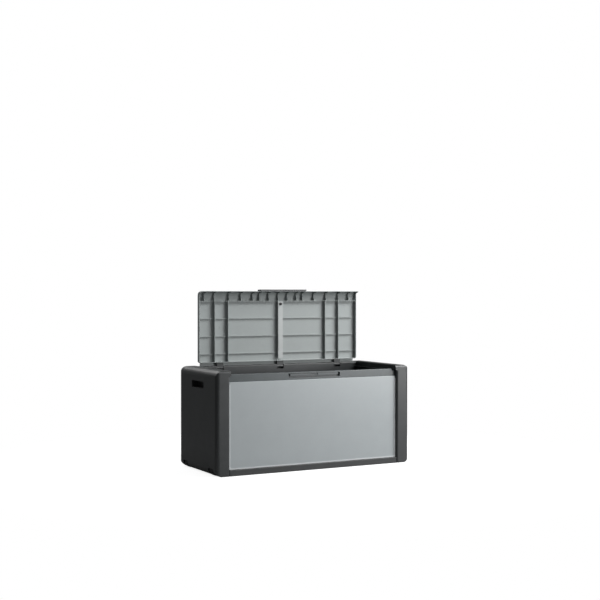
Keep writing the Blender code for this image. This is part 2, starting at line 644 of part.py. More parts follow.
def handle_tab():
    half = TAB_WIDTH / 2
    y1 = LID_SKIRT_Y + TAB_HEIGHT - 0.009
    y0 = y1 - TAB_HEIGHT
    z0 = LID_HIGH_Z + GAP
    profile = rounded([(y0, z0), (y1, z0), (y1, z0 + TAB_PROUD - 0.002), (y0, z0 + TAB_PROUD - GAP)],
                      [0.001, 0.001, 0.004, 0.004], 5)
    tab = prism("handle_tab", profile, "X", -half, half)
    outline = rounded(rect(-half, half, y0, y1), [0.006] * 4, 5)
    keep(tab, prism("outline", outline, "Z", z0 - 0.01, z0 + 0.03))
    scoop = rounded([(y0 + 0.004, z0 - 0.01), (y0 + 0.0083, z0 - 0.01), (y0 + 0.0083, z0 + 0.005),
                     (y0 + 0.004, z0 + 0.005)], [0, 0, 0.002, 0.002], 3)
    cut(tab, prism("finger_groove", scoop, "X", -half + 0.010, half - 0.010))
    return finish(tab, material("tab_plastic", TAB_GREY, 0.45))


def hinge_arm(word, x_mid):
    half = ARM_WIDTH / 2
    neck_front, neck_back = HINGE_Y - 0.0075, HINGE_Y - 0.0005
    top = LID_LOW_Z - GAP
    arm = prism("hinge_arm_" + word, circle(HINGE_Y, HINGE_Z, BARREL_RADIUS), "X", x_mid - half,
                x_mid + half)
    add(arm, box("neck", x_mid - half, x_mid + half, neck_front, neck_back, HINGE_Z + 0.002,
                 top - 0.0005))
    add(arm, box("flange", x_mid - half, x_mid + half, neck_front - 0.0005, LID_BACK_Y - LID_WALL - 0.0005,
                 top - 0.0035, top))
    cut(arm, prism("bore", circle(HINGE_Y, HINGE_Z, PIN_RADIUS + RUNNING_GAP), "X",
                   x_mid - half - 0.01, x_mid + half + 0.01))
    for dx in (-0.012, 0.012):
        cut(arm, prism("screw_hole", circle(x_mid + dx, SCREW_Y, SCREW_RADIUS + HOLE_GAP, 24), "Z",
                       top - 0.02, top + 0.01))
    finish(arm, material("hinge_arm_plastic_" + word, GRAPHITE, 0.45))
    return set_origin(arm, x_mid, HINGE_Y, HINGE_Z)


def hinge_screw(name, x_mid):
    seat = LID_LOW_Z - GAP - 0.0035 - GAP
    screw = prism(name, circle(x_mid, SCREW_Y, SCREW_RADIUS, 24), "Z", seat - 0.001, seat + 0.0115)
    add(screw, prism("head", circle(x_mid, SCREW_Y, 0.0036, 24), "Z", seat - 0.0026, seat))
    cut(screw, box("drive", x_mid - 0.0025, x_mid + 0.0025, SCREW_Y - 0.0005, SCREW_Y + 0.0005,
                   seat - 0.01, seat - 0.0014))
    return finish(screw, material(name + "_steel", ZINC, 0.30, 1.0))


lid_shell()
_, boss_z, boss_y = centre_beam()
lock_boss(boss_z, boss_y)
handle_tab()
for word, x_mid in HINGE_PLACES:
    hinge_arm(word, x_mid)
for number, x_mid in enumerate(hinge_hole_places()):
    hinge_screw("hinge_screw_%d" % (number + 1), x_mid)
for name in ("lid_shell", "lid_centre_beam", "lid_lock_boss", "handle_tab"):
    set_origin(bpy.data.objects[name], 0.0, HINGE_Y, HINGE_Z)


# ---- wheels --------------------------------------------------------------------------------
def wheel_bracket(word, y_mid):
    inner = WHEEL_WIDTH / 2 + CHEEK_GAP
    outer = inner + CHEEK_THICK
    back = -X_STILE - END_WALL - BRACKET_BACK_GAP
    top = WHEEL_Z + WHEEL_RADIUS + 0.007
    floor = END_WALL + GAP
    bracket = box("wheel_bracket_" + word, -X_END + 0.014, back, y_mid - outer, y_mid + outer, 0.014,
                  top)
    cut(bracket, box("inside", -X_END - 0.01, back + 0.01, y_mid - inner, y_mid + inner, -0.01,
                     top - CHEEK_THICK))
    for sign in (-1, 1):
        y0, y1 = sorted((y_mid + sign * inner, y_mid + sign * (outer + 0.003)))
        foot = box("foot", back - 0.003, -X_STILE - FOOT_GAP, y0, y1, floor, floor + 0.040)
        add(bracket, foot)
    cut(bracket, prism("axle_hole", circle(WHEEL_X, WHEEL_Z, AXLE_RADIUS + HOLE_GAP, 32), "Y",
                       y_mid - outer - 0.01, y_mid + outer + 0.01))
    return finish(bracket, material("wheel_bracket_plastic_" + word, BLACK, 0.55))


def wheel(word, y_mid):
    half = WHEEL_WIDTH / 2
    web = 0.003
    hub = 0.0105
    rim = WHEEL_RADIUS - 0.006
    outline = [(-half, AXLE_RADIUS + RUNNING_GAP), (half, AXLE_RADIUS + RUNNING_GAP),
               (half, hub - 0.0005), (web, hub), (web, rim - 0.001), (half, rim),
               (half, WHEEL_RADIUS), (-half, WHEEL_RADIUS), (-half, rim), (-web, rim - 0.001),
               (-web, hub), (-half, hub - 0.0005)]
    radii = [0, 0, 0, 0, 0, 0, 0.004, 0.004, 0, 0, 0, 0]
    body = ring("wheel_" + word, rounded(outline, radii, 4), y_mid, 48)
    finish(body, material("wheel_plastic_" + word, BLACK, 0.50))
    return set_origin(body, WHEEL_X, y_mid, WHEEL_Z)


def ring(name, outline, y_mid, count):
    """Solid made by turning an outline of (along axle, radius) once round the axle."""
    bm = bmesh.new()
    rows = []
    for k in range(count):
        t = 2 * math.pi * k / count
        rows.append([bm.verts.new((WHEEL_X + r * math.cos(t), y_mid + y, WHEEL_Z + r * math.sin(t)))
                     for y, r in outline])
    size = len(outline)
    for k in range(count):
        here, there = rows[k], rows[(k + 1) % count]
        for i in range(size):
            j = (i + 1) % size
            bm.faces.new((here[i], here[j], there[j], there[i]))
    return to_object(name, bm)


for word, y_mid in (("front", -WHEEL_OFFSET_Y), ("rear", WHEEL_OFFSET_Y)):
    wheel_bracket(word, y_mid)
    wheel(word, y_mid)
    half_axle = WHEEL_WIDTH / 2 + CHEEK_GAP + CHEEK_THICK + GAP
    headed_pin("wheel_axle_" + word, "Y", WHEEL_X, WHEEL_Z, AXLE_RADIUS, y_mid - half_axle,
               y_mid + half_axle, material("axle_steel_" + word, ZINC, 0.35, 1.0))
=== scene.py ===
"""Deck storage box: moulded finishes, fine trim and the studio.

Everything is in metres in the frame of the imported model. The box stands on z = 0 with its front
towards -Y, its length along X and its lid open.
"""

import math

import bmesh
import bpy
from mathutils import Matrix, Vector


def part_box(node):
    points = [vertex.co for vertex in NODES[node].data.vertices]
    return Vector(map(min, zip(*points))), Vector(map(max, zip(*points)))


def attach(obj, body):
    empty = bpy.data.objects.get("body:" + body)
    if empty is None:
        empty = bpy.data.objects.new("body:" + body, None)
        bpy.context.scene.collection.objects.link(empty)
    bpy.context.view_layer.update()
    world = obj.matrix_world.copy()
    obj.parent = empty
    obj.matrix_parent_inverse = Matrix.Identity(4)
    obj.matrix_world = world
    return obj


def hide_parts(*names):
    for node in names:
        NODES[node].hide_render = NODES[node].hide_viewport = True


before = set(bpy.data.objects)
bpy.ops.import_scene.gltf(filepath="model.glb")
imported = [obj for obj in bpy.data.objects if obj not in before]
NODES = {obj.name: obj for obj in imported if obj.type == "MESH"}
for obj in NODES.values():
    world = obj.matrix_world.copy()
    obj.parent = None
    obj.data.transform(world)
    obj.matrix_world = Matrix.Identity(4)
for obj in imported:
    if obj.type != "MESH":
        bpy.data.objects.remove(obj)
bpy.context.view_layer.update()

# ---- studio and camera values --------------------------------------------------------------
CAMERA_PLACE = (-3.0179, -5.6703, 0.9619)
CAMERA_TURN = 28.24  # degrees
CAMERA_DIP = 0.334  # degrees
CAMERA_LENS = 68.29  # millimetres
FLOOR_RADIUS = 60.0
FLOOR_FADE_START = 0.95
FLOOR_FADE_END = 1.9
FLOOR_TONE = (0.34, 0.34, 0.342)
FLOOR_BOUNCE = (0.30, 0.30, 0.30)
FLOOR_LIFT = 0.87
FILL_FROM = (0.80, -0.45, 0.45)
FILL_LOW = 0.14
FILL_HIGH = 0.36
FILL_SHADED_SIDE = -0.6
FILL_TONE = (0.97, 0.99, 1.0, 1.0)
WHITE = (1.0, 1.0, 1.0, 1.0)
CAMERA_SENSOR = 36.0  # millimetres
CAMERA_REACH = 200.0
FLOOR_DROP = 0.0002
FLOOR_ROUGHNESS = 0.85

# name: place, aim, (width, height), power
SOFT_LIGHTS = {
    "key_right": ((3.0, -1.9, 3.4), (0.1, 0.0, 0.4), (1.9, 1.9), 275.0),
    "sheen_front": ((2.5, -3.3, 0.75), (0.4, 0.0, 0.45), (1.8, 0.5), 64.0),
    "rim_back": ((-1.2, 3.2, 3.4), (0.0, 0.2, 0.4), (3.0, 2.0), 70.0),
    "low_back": ((1.4, 4.2, 0.32), (0.0, 0.2, 0.3), (2.0, 0.4), 48.0),
}

# ---- surface values ------------------------------------------------------------------------
PIT_SCALE = 950.0
COARSE_SCALE = 300.0
WAVE_SCALE = 5.5
MOTTLE_SCALE = 14.0
SPECK_SCALE = 130.0
GRAIN_RISE = 0.11
RUBBED_EDGE = 0.0016
DUST_TONE = (0.235, 0.215, 0.185)
DUST_COVER = 0.42
TARNISH_TONE = (0.21, 0.19, 0.16)
GRAIN_DEPTH = 0.001
DRAWN_LINE_DEPTH = 0.0004
DRAWN_LINE_BUMP = 0.12
BEAD_FADE_IN = 0.0003
BEAD_FULL = 0.0012

# ---- piece sizes in metres -----------------------------------------------------------------
WELD_GAP = 0.00001
GROWN_WELD_GAP = 0.000002
FLAT_ANGLE = 0.4  # degrees
EDGE_ANGLE = 32.0  # degrees
SMALL_EDGE = 0.0005
FLOOR_RIB_ROWS = 9
FLOOR_RIB_WIDTH = 0.0070
FLOOR_RIB_HEIGHT = 0.0013
FLOOR_RIB_END_GAP = 0.030
FLOOR_RIB_FRONT_GAP = 0.030
FLOOR_RIB_BACK_GAP = 0.034
MARK_LID_WIDTH = 1.020  # lid width that the columns of marks are set out for
LID_SKIN = 0.003
MARK_RADIUS = 0.0038
MARK_THICKNESS = 0.0007
MARK_COLUMNS = (-0.462, -0.3725, -0.250, -0.100, 0.095, 0.215, 0.343, 0.447)
MARK_ROWS = (0.115, 0.170, 0.215, 0.265, 0.310)
WHEEL_STEPS = 64
WHEEL_HUB = 0.0105
WHEEL_RIM_DEPTH = 0.0050
WHEEL_WEB_HALF = 0.0030
WHEEL_BREAK = 0.0006
WHEEL_HUB_ROOT = 0.0004
WHEEL_RIM_ROOT = 0.0010
WHEEL_CROWN = 0.0005
WHEEL_SHOULDER = 0.0020
WHEEL_TREAD_EDGE = 0.0024
WHEEL_BORE = 0.00408
LUG_COUNT = 30
LUG_RISE = 0.0012
LUG_THICKNESS = 0.0026
LUG_RISES_HIGH = 1.9
LUG_RISES_SUNK = 0.02
LUG_SIDE_GAPS = 0.009
WEB_RIB_COUNT = 8
WEB_RIB_THICKNESS = 0.0022
WEB_RIB_INNER = 0.0100
WEB_RIB_RIM_GAP = 0.0055
WEB_RIB_SIDE_GAPS = 0.012


# =============================================================================================
# Shader building blocks
# =============================================================================================
def new_group(name, inputs, outputs):
    """Empty shader group: inputs are (name, default), outputs are (name, kind)."""
    group = bpy.data.node_groups.new(name, "ShaderNodeTree")
    for label, default in inputs:
        socket = group.interface.new_socket(label, in_out="INPUT", socket_type="NodeSocketFloat")
        socket.default_value = default
    for label, kind in outputs:
        group.interface.new_socket(label, in_out="OUTPUT", socket_type=kind)
    enter = group.nodes.new("NodeGroupInput")
    leave = group.nodes.new("NodeGroupOutput")
    return group, enter, leave


class Maker:
    """Short ways to add and wire nodes in one tree."""

    def __init__(self, tree):
        self.tree = tree

    def node(self, kind, **values):
        made = self.tree.nodes.new(kind)
        for key, value in values.items():
            setattr(made, key, value)
        return made

    def link(self, source, target):
        self.tree.links.new(source, target)

    def feed(self, target, value):
        if isinstance(value, (int, float)):
            target.default_value = value
        else:
            self.link(value, target)

    def math(self, operation, a, b=0.0, clamp=False):
        made = self.node("ShaderNodeMath", operation=operation, use_clamp=clamp)
        self.feed(made.inputs[0], a)
        self.feed(made.inputs[1], b)
        return made.outputs[0]

    def place(self, scale=(1.0, 1.0, 1.0)):
        coords = self.node("ShaderNodeTexCoord")
        mapping = self.node("ShaderNodeMapping")
        mapping.inputs["Scale"].default_value = scale
        self.link(coords.outputs["Object"], mapping.inputs["Vector"])
        return mapping.outputs["Vector"]

    def noise(self, vector, scale, detail=3.0, rough=0.55):
        made = self.node("ShaderNodeTexNoise")
        self.link(vector, made.inputs["Vector"])
        self.feed(made.inputs["Scale"], scale)
        made.inputs["Detail"].default_value = detail
        made.inputs["Roughness"].default_value = rough
        return made.outputs["Fac"]

    def voronoi(self, vector, scale, feature="F1"):
        made = self.node("ShaderNodeTexVoronoi", feature=feature)
        self.link(vector, made.inputs["Vector"])
        self.feed(made.inputs["Scale"], scale)
        return made.outputs["Distance"]

    def spread(self, value, from_low, from_high, to_low=0.0, to_high=1.0):
        made = self.node("ShaderNodeMapRange")
        self.feed(made.inputs["Value"], value)
        made.inputs["From Min"].default_value = from_low
        made.inputs["From Max"].default_value = from_high
        self.feed(made.inputs["To Min"], to_low)
        self.feed(made.inputs["To Max"], to_high)
        return made.outputs["Result"]

    def mix(self, factor, a, b):
        made = self.node("ShaderNodeMix", data_type="RGBA")
        self.feed(made.inputs["Factor"], factor)
        for socket, value in ((made.inputs["A"], a), (made.inputs["B"], b)):
            if isinstance(value, tuple):
                socket.default_value = (value[0], value[1], value[2], 1.0)
            else:
                self.link(value, socket)
        return made.outputs["Result"]


def grain_group():
    """Spark-eroded mould texture: fine pits, and slow flow waves in the wall behind them."""
    group, enter, leave = new_group(
        "moulded_grain",
        [("Grain Size", 1.0), ("Grain", 1.0), ("Waves", 1.0)],
        [("Height", "NodeSocketFloat"), ("Mottle", "NodeSocketFloat")])
    m = Maker(group)
    vector = m.place()
    fine_scale = m.math("DIVIDE", PIT_SCALE, enter.outputs["Grain Size"])
    coarse_scale = m.math("DIVIDE", COARSE_SCALE, enter.outputs["Grain Size"])
    fine = m.voronoi(vector, fine_scale, "SMOOTH_F1")
    coarse = m.noise(vector, coarse_scale, 2.0)
    pits = m.math("ADD", m.math("MULTIPLY", fine, 0.7), m.math("MULTIPLY", coarse, 0.5))
    waves = m.noise(vector, WAVE_SCALE, 1.5, 0.4)
    rise = m.math("MULTIPLY", enter.outputs["Grain"], GRAIN_RISE)
    height = m.math("ADD", m.math("MULTIPLY", pits, rise),
                    m.math("MULTIPLY", waves, enter.outputs["Waves"]))
    m.link(height, leave.inputs["Height"])
    mottle = m.math("ADD", m.math("MULTIPLY", m.noise(vector, MOTTLE_SCALE, 4.0, 0.6), 0.6),
                    m.math("MULTIPLY", m.noise(vector, SPECK_SCALE, 2.0), 0.4))
    m.link(mottle, leave.inputs["Mottle"])
    return group


def wear_group():
    """Polished and whitened corners where hands and feet rub the plastic."""
    group, enter, leave = new_group(
        "edge_wear", [("Width", RUBBED_EDGE), ("Amount", 1.0)], [("Mask", "NodeSocketFloat")])
    m = Maker(group)
    soft = m.node("ShaderNodeBevel", samples=6)
    m.link(enter.outputs["Width"], soft.inputs["Radius"])
    plain = m.node("ShaderNodeNewGeometry")
    dot = m.node("ShaderNodeVectorMath", operation="DOT_PRODUCT")
    m.link(soft.outputs["Normal"], dot.inputs[0])
    m.link(plain.outputs["Normal"], dot.inputs[1])
    edge = m.spread(dot.outputs["Value"], 0.995, 0.86)
    vector = m.place()
    patch = m.spread(m.noise(vector, 34.0, 5.0, 0.65), 0.36, 0.70)
    mask = m.math("MULTIPLY", m.math("MULTIPLY", edge, patch), enter.outputs["Amount"],
                  clamp=True)
    m.link(mask, leave.inputs["Mask"])
    return group


def dust_group():
    """Fine garden dust that settles on upward faces and gathers low down."""
    group, enter, leave = new_group(
        "settled_dust", [("Amount", 1.0), ("Low Edge", 0.10)], [("Mask", "NodeSocketFloat")])
    m = Maker(group)
    facing = m.node("ShaderNodeNewGeometry")
    split = m.node("ShaderNodeSeparateXYZ")
    m.link(facing.outputs["Normal"], split.inputs[0])
    up = m.spread(split.outputs["Z"], 0.55, 1.0)
    vector = m.place()
    spot = m.node("ShaderNodeSeparateXYZ")
    m.link(vector, spot.inputs[0])
    low_edge = m.math("DIVIDE", spot.outputs["Z"], enter.outputs["Low Edge"])
    low = m.spread(low_edge, 1.0, 0.0, 0.0, 0.45)
    patch = m.spread(m.noise(vector, 9.0, 6.0, 0.62), 0.38, 0.78)
    grit = m.spread(m.noise(vector, 600.0, 2.0, 0.5), 0.45, 0.75)
    body = m.math("MULTIPLY", m.math("MAXIMUM", up, low),
                  m.math("ADD", m.math("MULTIPLY", patch, 0.75), m.math("MULTIPLY", grit, 0.25)))
    mask = m.math("MULTIPLY", body, enter.outputs["Amount"], clamp=True)
    m.link(mask, leave.inputs["Mask"])
    return group


def scuff_group():
    """Hairline rubs that run mostly along the length, and a few upright ones."""
    group, enter, leave = new_group(
        "hairline_scuffs", [("Amount", 1.0)], [("Mask", "NodeSocketFloat")])
    m = Maker(group)
    along = m.noise(m.place((2.2, 60.0, 260.0)), 3.0, 2.0, 0.5)
    upright = m.noise(m.place((240.0, 60.0, 4.0)), 2.0, 2.0, 0.5)
    sparse = m.spread(m.noise(m.place(), 6.0, 3.0, 0.6), 0.50, 0.72)
    lines = m.math("MAXIMUM", m.spread(along, 0.66, 0.74), m.spread(upright, 0.70, 0.77))
    mask = m.math("MULTIPLY", m.math("MULTIPLY", lines, sparse), enter.outputs["Amount"],
                  clamp=True)
    m.link(mask, leave.inputs["Mask"])
    return group


GRAIN = grain_group()
WEAR = wear_group()
DUST = dust_group()
SCUFF = scuff_group()


def use_group(m, group, **values):
    """Place a shared group; an underscore in a name stands for a space."""
    made = m.node("ShaderNodeGroup")
    made.node_tree = group
    for key, value in values.items():
        made.inputs[key.replace("_", " ")].default_value = value
    return made


def push(m, shader, height, strength, distance):
    """Raise the surface with a Bump node that feeds the shader's normal."""
    pushed = m.node("ShaderNodeBump")
    pushed.inputs["Strength"].default_value = strength
    pushed.inputs["Distance"].default_value = distance
    m.link(height, pushed.inputs["Height"])
    m.link(pushed.outputs["Normal"], shader.inputs["Normal"])


def new_finish(name):
    """Empty material: its maker, its shader and itself."""
    mat = bpy.data.materials.new(name)
    mat.use_nodes = True
    return Maker(mat.node_tree), mat.node_tree.nodes["Principled BSDF"], mat


def plastic(name, colour, roughness, grain=1.0, grain_size=1.0, waves=1.0, wear=0.5, dust=0.35,
            scuffs=0.3, shade=0.12, specular=0.5, bump=0.25, low_edge=0.10):
    """Moulded plastic: mottled colour, grain bump, rubbed corners, hairline scuffs and dust."""
    m, shader, mat = new_finish(name)
    grain_node = use_group(m, GRAIN, Grain_Size=grain_size, Grain=grain, Waves=waves)
    wear_node = use_group(m, WEAR, Width=RUBBED_EDGE, Amount=wear)
    dust_node = use_group(m, DUST, Amount=dust, Low_Edge=low_edge)
    scuff_node = use_group(m, SCUFF, Amount=scuffs)
    darker = tuple(c * (1.0 - shade) for c in colour)
    lighter = tuple(c * (1.0 + shade) for c in colour)
    mottle = m.spread(grain_node.outputs["Mottle"], 0.35, 0.65)
    tone = m.mix(mottle, darker, lighter)
    rubbed = tuple(min(1.0, c * 1.25 + 0.045) for c in colour)
    tone = m.mix(wear_node.outputs["Mask"], tone, rubbed)
    scraped = tuple(min(1.0, c * 1.15 + 0.02) for c in colour)
    tone = m.mix(scuff_node.outputs["Mask"], tone, scraped)
    covered = m.math("MULTIPLY", dust_node.outputs["Mask"], DUST_COVER)
    tone = m.mix(covered, tone, DUST_TONE)
    m.link(tone, shader.inputs["Base Color"])
    rough = m.math("ADD", roughness - 0.05, m.math("MULTIPLY", mottle, 0.10))
    rough = m.math("SUBTRACT", rough, m.math("MULTIPLY", wear_node.outputs["Mask"], 0.10))
    rough = m.math("ADD", rough, m.math("MULTIPLY", scuff_node.outputs["Mask"], 0.12))
    rough = m.math("ADD", rough, m.math("MULTIPLY", dust_node.outputs["Mask"], 0.30), clamp=True)
    m.link(rough, shader.inputs["Roughness"])
    shader.inputs["Specular IOR Level"].default_value = specular
    push(m, shader, grain_node.outputs["Height"], bump, GRAIN_DEPTH)
    return mat


def paint_bead_highlight_and_polish(mat, tone, y_plane, roughness):
    """The bead round the panel stands proud of y_plane: it is smoother there, and its colour is
    lightened there as a painted highlight.
    """
    m = Maker(mat.node_tree)
    shader = mat.node_tree.nodes["Principled BSDF"]
    spot = m.node("ShaderNodeSeparateXYZ")
    m.link(m.place(), spot.inputs[0])
    proud = m.spread(spot.outputs["Y"], y_plane + BEAD_FADE_IN, y_plane - BEAD_FULL)
    colour_below = shader.inputs["Base Color"].links[0].from_socket
    # painted highlight: the bead's colour is lightened where it stands proud, in place of the light
    # its rounded edge catches
    m.link(m.mix(proud, colour_below, tone), shader.inputs["Base Color"])
    rough_below = shader.inputs["Roughness"].links[0].from_socket
    m.link(m.spread(proud, 0.0, 1.0, rough_below, roughness), shader.inputs["Roughness"])


def metal(name, colour, roughness):
    """Zinc-plated steel with drawn lines, spangle and a little tarnish."""
    m, shader, mat = new_finish(name)
    spangle = m.voronoi(m.place(), 260.0)
    lines = m.noise(m.place((1.0, 14.0, 14.0)), 150.0, 2.0)
    stain = m.spread(m.noise(m.place(), 45.0, 4.0, 0.6), 0.46, 0.72)
    tone = m.mix(m.spread(spangle, 0.0, 0.9), tuple(c * 0.82 for c in colour), colour)
    tone = m.mix(m.math("MULTIPLY", stain, 0.5), tone, TARNISH_TONE)
    m.link(tone, shader.inputs["Base Color"])
    rough = m.math("ADD", roughness, m.math("MULTIPLY", lines, 0.16))
    rough = m.math("ADD", rough, m.math("MULTIPLY", stain, 0.20), clamp=True)
    m.link(rough, shader.inputs["Roughness"])
    shader.inputs["Metallic"].default_value = 1.0
    push(m, shader, lines, DRAWN_LINE_BUMP, DRAWN_LINE_DEPTH)
    return mat


# ---- finishes ------------------------------------------------------------------------------
GRAPHITE = (0.0215, 0.0238, 0.0250)
RAIL_TONE = (0.054, 0.064, 0.068)
FASCIA_TONE = (0.252, 0.278, 0.288)
LID_TONE = (0.272, 0.296, 0.294)
# painted highlight: the paler colour laid on the fascia's bead
BEAD_PAINTED_HIGHLIGHT = (0.50, 0.52, 0.53)
BEAM_TONE = (0.335, 0.352, 0.350)
TAB_TONE = (0.045, 0.047, 0.051)
BLACK_TONE = (0.010, 0.010, 0.011)
ZINC_TONE = (0.58, 0.60, 0.62)
BEAD_RISE = 0.0025
BEAD_ROUGHNESS = 0.20

end_finish = plastic("graphite_end_moulding", GRAPHITE, 0.41, wear=0.45, dust=0.35, scuffs=0.35)
base_finish = plastic("graphite_base", GRAPHITE, 0.50, wear=0.55, dust=0.55, scuffs=0.5)
rear_finish = plastic("graphite_rear", GRAPHITE, 0.50, wear=0.45, dust=0.35, scuffs=0.35)
inner_finish = plastic("graphite_inside", GRAPHITE, 0.56, wear=0.30, dust=0.45, scuffs=0.6)
rail_finish = plastic("rail_grey", RAIL_TONE, 0.36, wear=0.35, dust=0.20, scuffs=0.4)
fascia_finish = plastic("fascia_light_grey", FASCIA_TONE, 0.38, grain=0.5, waves=0.7, wear=0.25,
                        dust=0.18, scuffs=0.22, shade=0.025)
lid_finish = plastic("lid_mid_grey", LID_TONE, 0.54, grain=0.6, waves=0.8, wear=0.30, dust=0.22,
                     scuffs=0.30, shade=0.04, low_edge=0.01)
beam_finish = plastic("beam_light_grey", BEAM_TONE, 0.40, grain=0.5, waves=0.5, wear=0.3, dust=0.15,
                      scuffs=0.30, shade=0.03, low_edge=0.01)
tab_finish = plastic("tab_dark_grey", TAB_TONE, 0.42, grain=0.8, wear=0.6, dust=0.2, scuffs=0.5,
                     low_edge=0.01)
black_finish = plastic("cup_black", BLACK_TONE, 0.60, wear=0.30, dust=0.35, scuffs=0.2, shade=0.2)
steel_finish = metal("zinc_plated_steel", ZINC_TONE, 0.26)

fascia_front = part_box("front_fascia")[0][1]
# the fascia's bead gets a painted highlight colour and a smoother finish
paint_bead_highlight_and_polish(fascia_finish, BEAD_PAINTED_HIGHLIGHT, fascia_front + BEAD_RISE, BEAD_ROUGHNESS)

FINISH_OF = {
    "left_end_shell": end_finish, "right_end_shell": end_finish, "base_tray": base_finish,
    "rear_wall": rear_finish, "rear_rail": rear_finish, "left_inner_panel": inner_finish,
    "right_inner_panel": inner_finish, "front_wall": rail_finish, "latch_keeper": rail_finish,
    "front_fascia": fascia_finish, "lid_shell": lid_finish, "lid_centre_beam": beam_finish,
    "lid_lock_boss": black_finish, "handle_tab": tab_finish, "left_hand_cup": black_finish,
    "right_hand_cup": black_finish,
}


def finish_for(node):
    """Finish of a carried-over piece, by its name."""
    if node in FINISH_OF:
        return FINISH_OF[node]
    if "pin" in node or "screw" in node or "axle" in node:
        return steel_finish
    return black_finish if node.startswith("wheel") else rear_finish


# =============================================================================================
# Carried-over pieces: finish, softened edges and smooth rounds
# =============================================================================================
SOFT_EDGE = {
    "left_end_shell": 0.0012, "right_end_shell": 0.0012, "base_tray": 0.0010,
    "front_fascia": 0.0011, "front_wall": 0.0010, "latch_keeper": 0.0010, "rear_rail": 0.0010,
    "rear_wall": 0.0012, "lid_shell": 0.0008, "lid_centre_beam": 0.0008, "handle_tab": 0.0009,
}


def dress(obj, finish, edge):
    """Join the loose triangles, ease the sharp edges and shade the rounds smooth."""
    for slot in obj.material_slots:
        slot.material = finish
    if not obj.material_slots:
        obj.data.materials.append(finish)
    for face in obj.data.polygons:
        face.use_smooth = True
    weld = obj.modifiers.new("join_triangles", "WELD")
    weld.merge_threshold = WELD_GAP
    flat = obj.modifiers.new("merge_flats", "DECIMATE")
    flat.decimate_type = "DISSOLVE"
    flat.angle_limit = math.radians(FLAT_ANGLE)
    ease = obj.modifiers.new("ease_edges", "BEVEL")
    ease.width = edge
    ease.segments = 2
    ease.limit_method = "ANGLE"
    ease.angle_limit = math.radians(EDGE_ANGLE)
    ease.use_clamp_overlap = True
    ease.miter_outer = "MITER_ARC"
    even = obj.modifiers.new("keep_flats_flat", "WEIGHTED_NORMAL")
    even.mode = "FACE_AREA"
    even.weight = 100
    even.keep_sharp = False


for name, obj in NODES.items():
    dress(obj, finish_for(name), SOFT_EDGE.get(name, SMALL_EDGE))


# =============================================================================================
# Geometry node building blocks
# =============================================================================================
class Grower:
    """One geometry tree: named inputs, then nodes that end in realised, finished instances."""

    def __init__(self, name, sizes):
        self.tree = bpy.data.node_groups.new(name, "GeometryNodeTree")
        self.sizes = sizes
        self.sockets = {}
        self.tree.interface.new_socket("Geometry", in_out="INPUT", socket_type="NodeSocketGeometry")
        for label, value in sizes.items():
            kind = "NodeSocketInt" if isinstance(value, int) else "NodeSocketFloat"
            self.sockets[label] = self.tree.interface.new_socket(label, in_out="INPUT",
                                                                 socket_type=kind)
        self.tree.interface.new_socket("Geometry", in_out="OUTPUT",
                                       socket_type="NodeSocketGeometry")
        self.enter = self.tree.nodes.new("NodeGroupInput")
        self.leave = self.tree.nodes.new("NodeGroupOutput")

    def size(self, label):
        return self.enter.outputs[label]

    def node(self, kind, links=None, **values):
        made = self.tree.nodes.new(kind)
        for key, value in values.items():
            setattr(made, key, value)
        for key, value in (links or {}).items():
            target = made.inputs[key]
            if isinstance(value, bpy.types.NodeSocket):
                self.tree.links.new(value, target)
            else:
                target.default_value = value
        return made

    def math(self, operation, a, b=0.0):
        return self.node("ShaderNodeMath", {0: a, 1: b}, operation=operation).outputs[0]

    def vector(self, x=0.0, y=0.0, z=0.0):
        return self.node("ShaderNodeCombineXYZ", {"X": x, "Y": y, "Z": z}).outputs[0]

    def join(self, *parts):
        joined = self.node("GeometryNodeJoinGeometry")
        for part in reversed(parts):
            self.tree.links.new(part, joined.inputs[0])
        return joined.outputs[0]

    def grow(self, name, geometry, finish, start=None, place=(0.0, 0.0, 0.0), smooth=40.0):
        """Run the tree on start, and keep the result as a plain mesh at place."""
        real = self.node("GeometryNodeRealizeInstances", {"Geometry": geometry})
        dressed = self.node("GeometryNodeSetMaterial", {"Geometry": real.outputs[0],
                                                        "Material": finish})
        self.tree.links.new(dressed.outputs[0], self.leave.inputs[0])
        mesh = start or bpy.data.meshes.new(name + "_start")
        carrier = bpy.data.objects.new(name + "_start", mesh)
        bpy.context.scene.collection.objects.link(carrier)
        grown = carrier.modifiers.new("grow", "NODES")
        grown.node_group = self.tree
        for label, value in self.sizes.items():
            grown[self.sockets[label].identifier] = value
        seen = carrier.evaluated_get(bpy.context.evaluated_depsgraph_get())
        plain = bpy.data.meshes.new_from_object(seen)
        carrier.modifiers.remove(grown)
        bpy.data.objects.remove(carrier)
        plain.transform(Matrix.Translation(place))
        if not plain.materials:
            plain.materials.append(finish)
        bm = bmesh.new()
        bm.from_mesh(plain)
        bmesh.ops.remove_doubles(bm, verts=bm.verts, dist=GROWN_WELD_GAP)
        bmesh.ops.recalc_face_normals(bm, faces=bm.faces)
        for face in bm.faces:
            face.smooth = True
        for edge in bm.edges:
            edge.smooth = edge.calc_face_angle(0.0) < math.radians(smooth)
        bm.to_mesh(plain)
        bm.free()
        made = bpy.data.objects.new(name, plain)
        bpy.context.scene.collection.objects.link(made)
        return made


def points_mesh(name, places):
    """Loose points that a tree sets its pieces on."""
    mesh = bpy.data.meshes.new(name)
    mesh.from_pydata(places, [], [])
    return mesh


